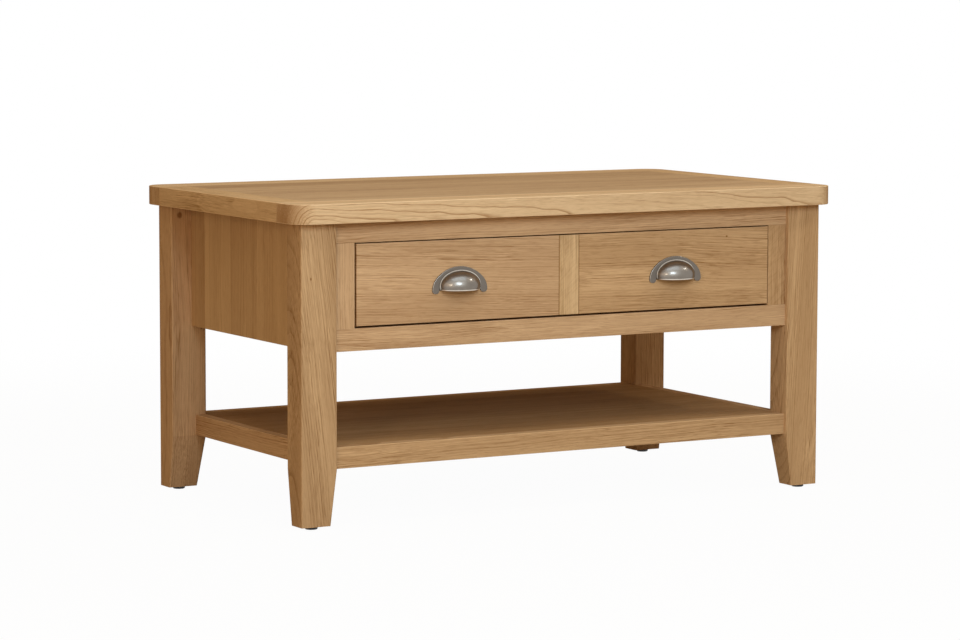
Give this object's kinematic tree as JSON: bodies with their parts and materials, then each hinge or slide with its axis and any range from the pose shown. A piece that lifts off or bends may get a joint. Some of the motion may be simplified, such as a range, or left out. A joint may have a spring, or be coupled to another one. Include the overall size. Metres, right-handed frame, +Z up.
{
  "type": "coffee table",
  "caption": "Oak coffee table with a wide drawer on ball-bearing slides, cup handles, a lower shelf and tapered legs on floor glides.",
  "frame": {"origin": "on the floor, under the middle of the table", "axes": "+X along the table's length to the right, +Y from the drawer front to the back, +Z up"},
  "size_m": [0.894, 0.5, 0.45],
  "materials": {
    "oak": "solid oak, satin lacquer",
    "oak_veneer": "oak veneer, satin lacquer",
    "drawer_wood": "pale wood, sealed",
    "plywood": "plywood, sealed",
    "softwood": "planed softwood",
    "beech": "raw beech",
    "pewter": "antique pewter, semi-gloss",
    "zinc_steel": "zinc-plated",
    "black_plastic": "matt moulded"
  },
  "bodies": {
    "table": {"back_panel": "oak_veneer", "back_top_cleat": "softwood", "batten_screws": "zinc_steel", "floor_glides": "black_plastic", "front_drawer_rail": "oak", "front_frame_dowels": "beech", "front_left_stile": "oak", "front_right_stile": "oak", "front_top_rail": "oak", "glide_pins": "zinc_steel", "left_runner_batten": "softwood", "left_side_panel": "oak_veneer", "left_slide_case_member": "zinc_steel", "left_top_cleat": "softwood", "leg_back_left": "oak", "leg_back_right": "oak", "leg_front_left": "oak", "leg_front_right": "oak", "panel_dowels": "beech", "right_runner_batten": "softwood", "right_side_panel": "oak_veneer", "right_slide_case_member": "zinc_steel", "right_top_cleat": "softwood", "shelf_back_cleat": "softwood", "shelf_back_rail": "oak", "shelf_cleat_screws": "zinc_steel", "shelf_dowels": "beech", "shelf_front_cleat": "softwood", "shelf_front_rail": "oak", "shelf_left_rail": "oak", "shelf_panel": "oak_veneer", "shelf_right_rail": "oak", "slide_case_screws": "zinc_steel", "top_back_lipping": "oak", "top_cleat_screws": "zinc_steel", "top_fixing_screws": "zinc_steel", "top_front_lipping": "oak", "top_left_lipping": "oak", "top_panel": "oak_veneer", "top_right_lipping": "oak"},
    "drawer": {"drawer_back": "drawer_wood", "drawer_bottom": "plywood", "drawer_box_front": "drawer_wood", "drawer_front_centre_strip": "oak", "drawer_front_left_panel": "oak", "drawer_front_right_panel": "oak", "drawer_front_screws": "zinc_steel", "drawer_left_side": "drawer_wood", "drawer_right_side": "drawer_wood", "handle_screws": "zinc_steel", "left_cup_handle": "pewter", "left_slide_drawer_member": "zinc_steel", "right_cup_handle": "pewter", "right_slide_drawer_member": "zinc_steel", "slide_drawer_screws": "zinc_steel"},
    "left_cage": {"left_ball_cage": "zinc_steel", "left_slide_balls": "zinc_steel"},
    "right_cage": {"right_ball_cage": "zinc_steel", "right_slide_balls": "zinc_steel"}
  },
  "joints": [
    {"name": "drawer_slide", "type": "slide", "parent": "table", "child": "drawer", "axis": [0, -1, 0], "range_m": [0, 0.26]},
    {"name": "left_cage_slide", "type": "slide", "parent": "table", "child": "left_cage", "axis": [0, -1, 0], "range_m": [0, 0.13]},
    {"name": "right_cage_slide", "type": "slide", "parent": "table", "child": "right_cage", "axis": [0, -1, 0], "range_m": [0, 0.13]}
  ],
  "couplings": [
    {"joint": "left_cage_slide", "follows": "drawer_slide", "ratio": 0.5},
    {"joint": "right_cage_slide", "follows": "drawer_slide", "ratio": 0.5}
  ]
}
